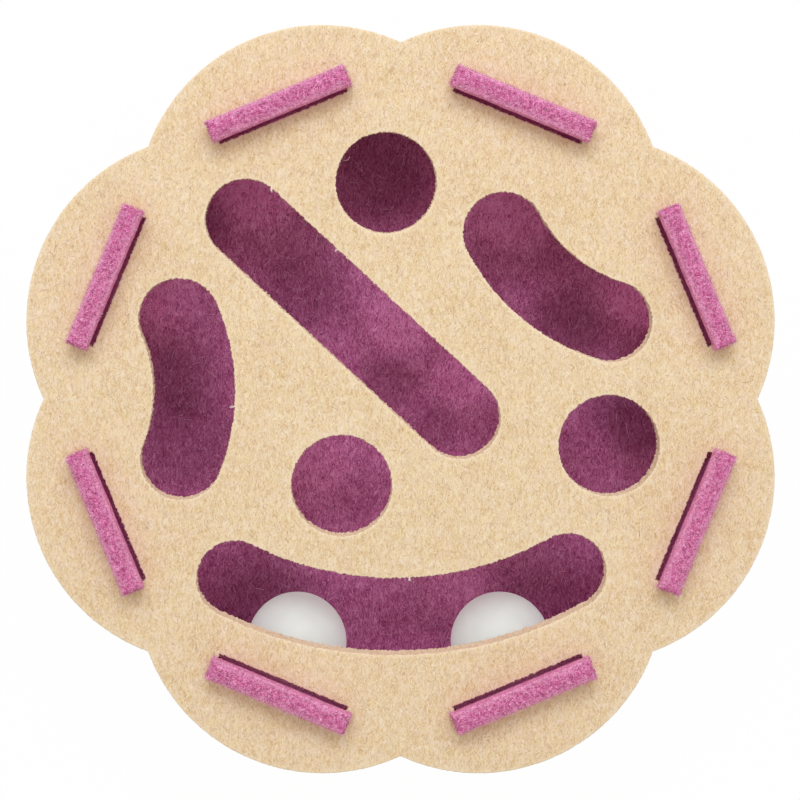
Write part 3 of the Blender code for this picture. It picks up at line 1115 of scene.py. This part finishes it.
def ball_material():
    material, shader, nodes = new_material(
        "white_plastic",
        Roughness=0.5,
        Subsurface_Weight=0.85,
        Subsurface_Radius=(0.028, 0.028, 0.027),
        Subsurface_Scale=1.0,
        Emission_Color=(0.99, 1.0, 0.97, 1.0),
        Emission_Strength=GLOW_THROUGH,
    )
    place = nodes.add("TexCoord").outputs["Object"]
    mottle = nodes.spread(nodes.noise(place, MOTTLES_PER_M, 3.0), 0.3, 0.7)
    nodes.set(shader.inputs["Base Color"], nodes.mix(mottle, linear(189, 193, 189), linear(184, 188, 184)))
    grain = nodes.noise(place, PLASTIC_GRAINS_PER_M, 2.0)
    bump = nodes.add("Bump", Height=grain, Strength=0.12, Distance=0.05 * MM)
    nodes.set(shader.inputs["Normal"], bump.outputs["Normal"])
    return material


white_plastic = ball_material()
print(white_plastic.name, "has", len(white_plastic.node_tree.nodes), "nodes")

# %% Make the balls
BALL_TURNS = 96
SEAM_WIDTH = 0.35 * MM
SEAM_DEPTH = 0.06 * MM
FIRST_SEAM_TURN = 0.9  # the balls lie as they rolled, each with its seam another way


def ball_mesh(name, radius, seam_turn):
    work = bmesh.new()
    bmesh.ops.create_uvsphere(work, u_segments=BALL_TURNS, v_segments=BALL_TURNS * 3 // 4, radius=radius)
    for vert in work.verts:
        from_seam = abs(vert.co.z) / SEAM_WIDTH
        vert.co *= 1 - SEAM_DEPTH / radius * math.exp(-(from_seam**2))
    work.transform(Matrix.Rotation(seam_turn, 4, "X") @ Matrix.Rotation(seam_turn / 2, 4, "Y"))
    return finished(work, name)


for number, node in enumerate(ball_names):
    low, high = (Vector(corner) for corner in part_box(node))
    radius = (high.z - low.z) / 2
    mesh = ball_mesh(f"{node}_shell", radius, FIRST_SEAM_TURN + number)
    ball = show(f"{node}_shell", mesh, white_plastic, Matrix.Translation((low + high) / 2))
    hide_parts(node)
    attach(ball, node)
    print(node, "radius", round(radius / MM, 2), "mm")

# %% [markdown]
# ## Light and floor
#
# The picture was taken in broad, soft light that comes mostly from the upper edge. Many lamps could build
# it up, but each would add a shadow of its own. A pale world lights everything evenly instead, and one
# large soft lamp beyond the upper edge gives the heads their short shadows. The floor and the sky are white
# to the camera alone, and the floor keeps a faint shadow of the mat.

# %% Set up the studio
SKY_COLOUR = (1.0, 0.96, 0.87, 1.0)
SKY_STRENGTH = 0.64
FLOOR_COLOUR = (0.92, 0.92, 0.92, 1.0)
FLOOR_GLOW_SHARE = 0.98  # the rest shows the shadow
FLOOR_HALF_SIZE = 4.0
LAMP_COLOUR = (0.94, 0.97, 1.06)

scene = bpy.context.scene
scene.view_settings.view_transform = "Standard"


def plain_shader(tree, kind, colour, **values):
    shader = tree.nodes.new("ShaderNode" + kind)
    shader.inputs["Color"].default_value = colour
    for socket, value in values.items():
        shader.inputs[socket].default_value = value
    return shader


def seen_differently(tree, to_light, to_camera, share, output_kind):
    """Gives the camera rays another shader than the light, by that share."""
    light_path = tree.nodes.new("ShaderNodeLightPath")
    amount = tree.nodes.new("ShaderNodeMath")
    amount.operation = "MULTIPLY"
    amount.inputs[1].default_value = share
    choice = tree.nodes.new("ShaderNodeMixShader")
    output = tree.nodes.new("ShaderNodeOutput" + output_kind)
    tree.links.new(light_path.outputs["Is Camera Ray"], amount.inputs[0])
    tree.links.new(amount.outputs[0], choice.inputs[0])
    tree.links.new(to_light.outputs[0], choice.inputs[1])
    tree.links.new(to_camera.outputs[0], choice.inputs[2])
    tree.links.new(choice.outputs[0], output.inputs["Surface"])


def soft_lamp(name, place, target, size, watts):
    lamp = bpy.data.lights.new(name, "AREA")
    lamp.shape = "RECTANGLE"
    lamp.size, lamp.size_y = size
    lamp.energy = watts
    lamp.color = LAMP_COLOUR
    holder = bpy.data.objects.new(name, lamp)
    holder.location = place
    holder.rotation_euler = (Vector(target) - Vector(place)).to_track_quat("-Z", "Y").to_euler()
    scene.collection.objects.link(holder)


world = bpy.data.worlds.new("studio")
scene.world = world
world.use_nodes = True
tree = world.node_tree
tree.nodes.clear()
lighting = plain_shader(tree, "Background", SKY_COLOUR, Strength=SKY_STRENGTH)
seen_differently(tree, lighting, plain_shader(tree, "Background", WHITE, Strength=1.0), 1.0, "World")

soft_lamp("upper_softbox", place=(0.0, 1.05, 1.35), target=(0.0, 0.0, 0.05), size=(1.5, 0.8), watts=15.5)

floor_mesh = bpy.data.meshes.new("floor")
work = bmesh.new()
bmesh.ops.create_grid(work, x_segments=1, y_segments=1, size=FLOOR_HALF_SIZE)
work.to_mesh(floor_mesh)
work.free()
floor_finish = bpy.data.materials.new("floor_white")
floor_finish.use_nodes = True
tree = floor_finish.node_tree
tree.nodes.clear()
matte = plain_shader(tree, "BsdfDiffuse", FLOOR_COLOUR)
glow = plain_shader(tree, "Emission", WHITE, Strength=1.0)
seen_differently(tree, matte, glow, FLOOR_GLOW_SHARE, "Material")
floor = show("floor", floor_mesh, floor_finish)
print("floor", 2 * FLOOR_HALF_SIZE, "m wide, lamps:", [light.name for light in bpy.data.lights])

# %% [markdown]
# ## The camera
#
# The photograph looks straight down, but shows more of some cut faces than of others, so its camera stood a
# little aside. Turning the camera towards the mat would skew the round outline. Here it looks straight down
# from aside, and a lens shift brings the mat back to the middle.

# %% Place the camera
CAMERA_HEIGHT = 600.0 * MM  # above the lid
PIXELS_PER_MM = 2.6  # at the lid's upper side
PICTURE_SIZE = 800
SENSOR = 36.0
PICTURE_MIDDLE = Vector((-0.2 * MM, -0.35 * MM))
CAMERA_ASIDE = Vector((-15.0 * MM, 22.0 * MM))  # from the middle, told from which cut faces the picture shows

camera_data = bpy.data.cameras.new("camera")
camera_data.sensor_width = SENSOR
camera_data.lens = SENSOR * CAMERA_HEIGHT / (PICTURE_SIZE / PIXELS_PER_MM * MM)
camera = bpy.data.objects.new("camera", camera_data)
camera.location = (*(PICTURE_MIDDLE + CAMERA_ASIDE), lid_high.z + CAMERA_HEIGHT)
camera_data.shift_x, camera_data.shift_y = -CAMERA_ASIDE * PIXELS_PER_MM / MM / PICTURE_SIZE
scene.collection.objects.link(camera)
scene.camera = camera
print("lens", round(camera_data.lens, 1), "mm, camera at", round(camera.location.z, 3), "m")
